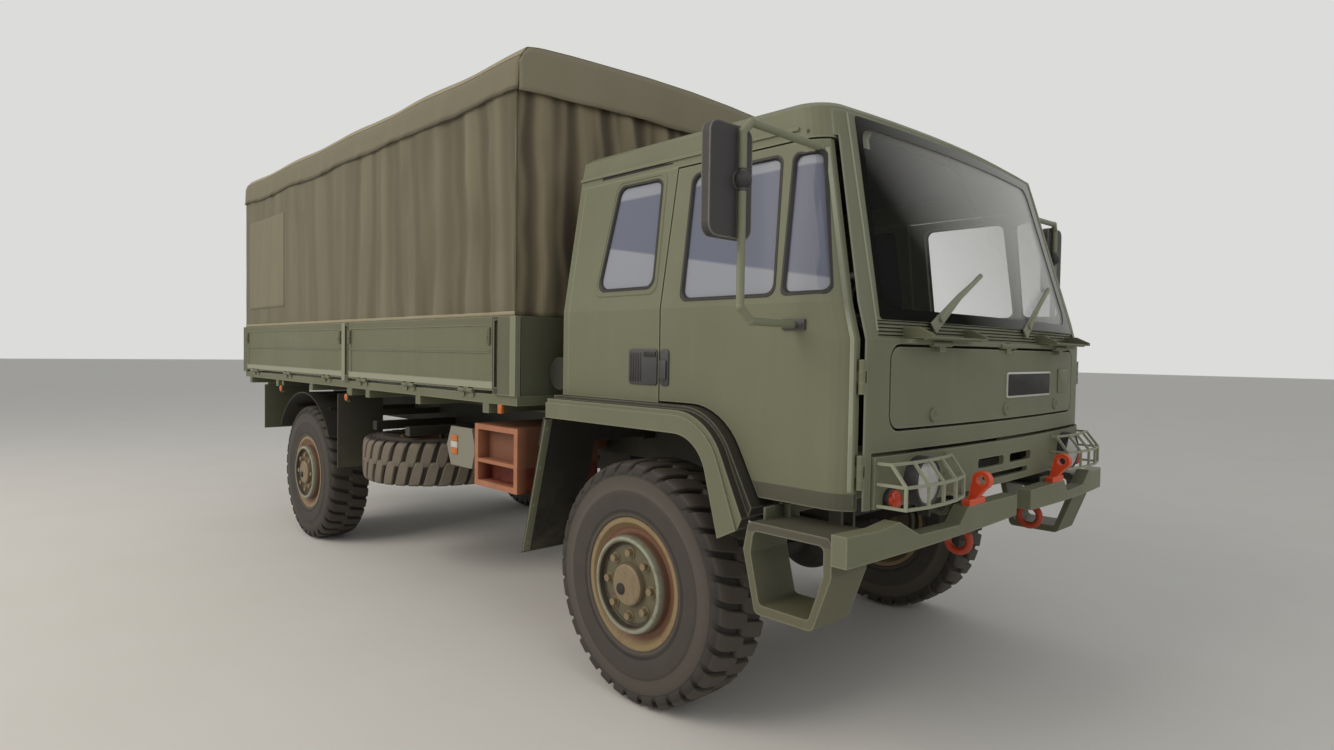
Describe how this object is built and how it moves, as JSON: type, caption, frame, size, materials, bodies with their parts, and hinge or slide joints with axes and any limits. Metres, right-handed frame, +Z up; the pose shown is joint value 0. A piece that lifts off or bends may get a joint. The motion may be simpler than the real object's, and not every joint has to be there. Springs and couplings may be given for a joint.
{
  "type": "military cargo truck",
  "caption": "Forward-control off-road cargo truck with a tilting cab, hinged drop sides and tailgate, a canvas load cover and bar-tread tyres.",
  "frame": {"origin": "middle of the ground rectangle under the truck", "axes": "+X forward along the truck, +Y to the truck's left, +Z up"},
  "size_m": [6.6499, 3.06, 3.112],
  "materials": {
    "frame_metal": "matt",
    "axle_metal": "matt",
    "paint": "matt",
    "dark_paint": "matt",
    "tow_red": "satin",
    "tow_dark_red": "satin",
    "lens": "gloss",
    "box_metal": "matt",
    "tyre": "matt",
    "wheel_metal": "matt",
    "flap_rubber": "matt",
    "bow_metal": "matt",
    "canvas_top": "matt",
    "canvas_side": "matt",
    "glass": "gloss",
    "seat_cloth": "matt",
    "trim": "matt",
    "grille": "matt",
    "mirror_case": "matt"
  },
  "bodies": {
    "chassis": {"chassis_frame": "frame_metal", "front_axle": "axle_metal", "rear_axle": "axle_metal", "leaf_springs": "axle_metal", "engine": "axle_metal", "driveline": "axle_metal", "bumper": "paint", "tow_eyes": "tow_red", "tow_hooks": "tow_dark_red", "lamp_panel": "paint", "lamps": "lens", "lamp_guards": "paint", "cab_steps": "paint", "fuel_tank": "dark_paint", "air_tanks": "frame_metal", "battery_box": "box_metal", "spare_tyre": "tyre", "spare_rim": "wheel_metal", "mudguards": "flap_rubber", "cargo_floor": "dark_paint", "headboard": "dark_paint", "body_posts": "paint", "canopy_bows": "bow_metal", "canopy_top": "canvas_top", "canopy_sides": "canvas_side"},
    "cab": {"cab_floor": "dark_paint", "cab_rear": "paint", "cab_roof": "paint", "cab_sides": "paint", "cab_front_panel": "paint", "cab_glass": "glass", "seats": "seat_cloth", "dashboard": "trim", "steering_wheel": "trim", "scuttle": "grille", "wipers": "flap_rubber", "arch_flares": "paint"},
    "front_flap": {"front_flap": "paint"},
    "door_right": {"door_right": "paint", "door_glass_right": "glass", "mirror_right": "mirror_case"},
    "side_right_front": {"side_right_front": "paint"},
    "side_right_rear": {"side_right_rear": "paint"},
    "knuckle_right": {"knuckle_right": "axle_metal"},
    "wheel_front_right": {"tyre_front_right": "tyre", "wheel_front_right": "wheel_metal"},
    "wheel_rear_right": {"tyre_rear_right": "tyre", "wheel_rear_right": "wheel_metal"},
    "door_left": {"door_left": "paint", "door_glass_left": "glass", "mirror_left": "mirror_case"},
    "side_left_front": {"side_left_front": "paint"},
    "side_left_rear": {"side_left_rear": "paint"},
    "knuckle_left": {"knuckle_left": "axle_metal"},
    "wheel_front_left": {"tyre_front_left": "tyre", "wheel_front_left": "wheel_metal"},
    "wheel_rear_left": {"tyre_rear_left": "tyre", "wheel_rear_left": "wheel_metal"},
    "tailgate": {"tailgate": "paint"}
  },
  "joints": [
    {"name": "cab_tilt", "type": "hinge", "parent": "chassis", "child": "cab", "pos_m": [3.15, 0, 0.945], "axis": [0, 1, 0], "range_deg": [0, 45]},
    {"name": "front_flap_hinge", "type": "hinge", "parent": "cab", "child": "front_flap", "pos_m": [3.198, 0, 1.582], "axis": [0, -1, 0], "range_deg": [0, 85]},
    {"name": "door_right_hinge", "type": "hinge", "parent": "cab", "child": "door_right", "pos_m": [3.131, -1.03266, 1.295], "axis": [0, 0, 1], "range_deg": [0, 75]},
    {"name": "side_right_front_hinge", "type": "hinge", "parent": "chassis", "child": "side_right_front", "pos_m": [0.105, -1.228, 1.313], "axis": [1, 0, 0], "range_deg": [0, 180]},
    {"name": "side_right_rear_hinge", "type": "hinge", "parent": "chassis", "child": "side_right_rear", "pos_m": [-2.084, -1.228, 1.313], "axis": [1, 0, 0], "range_deg": [0, 180]},
    {"name": "door_left_hinge", "type": "hinge", "parent": "cab", "child": "door_left", "pos_m": [3.131, 1.03266, 1.295], "axis": [0, 0, -1], "range_deg": [0, 75]},
    {"name": "side_left_front_hinge", "type": "hinge", "parent": "chassis", "child": "side_left_front", "pos_m": [0.105, 1.228, 1.313], "axis": [-1, 0, 0], "range_deg": [0, 180]},
    {"name": "side_left_rear_hinge", "type": "hinge", "parent": "chassis", "child": "side_left_rear", "pos_m": [-2.084, 1.228, 1.313], "axis": [-1, 0, 0], "range_deg": [0, 180]},
    {"name": "tailgate_hinge", "type": "hinge", "parent": "chassis", "child": "tailgate", "pos_m": [-3.303, 0, 1.313], "axis": [0, -1, 0], "range_deg": [0, 180]},
    {"name": "steer_right", "type": "hinge", "parent": "chassis", "child": "knuckle_right", "pos_m": [2.09, -0.77, 0.531], "axis": [0, 0, 1], "range_deg": [-30, 30]},
    {"name": "steer_left", "type": "hinge", "parent": "chassis", "child": "knuckle_left", "pos_m": [2.09, 0.77, 0.531], "axis": [0, 0, 1], "range_deg": [-30, 30]},
    {"name": "wheel_front_right_spin", "type": "hinge", "parent": "knuckle_right", "child": "wheel_front_right", "pos_m": [2.09, -1.01, 0.531], "axis": [0, 1, 0], "continuous": true},
    {"name": "wheel_rear_right_spin", "type": "hinge", "parent": "chassis", "child": "wheel_rear_right", "pos_m": [-1.86, -1.01, 0.531], "axis": [0, 1, 0], "continuous": true},
    {"name": "wheel_front_left_spin", "type": "hinge", "parent": "knuckle_left", "child": "wheel_front_left", "pos_m": [2.09, 1.01, 0.531], "axis": [0, 1, 0], "continuous": true},
    {"name": "wheel_rear_left_spin", "type": "hinge", "parent": "chassis", "child": "wheel_rear_left", "pos_m": [-1.86, 1.01, 0.531], "axis": [0, 1, 0], "continuous": true}
  ],
  "couplings": [
    {"joint": "steer_left", "follows": "steer_right", "ratio": 1}
  ]
}
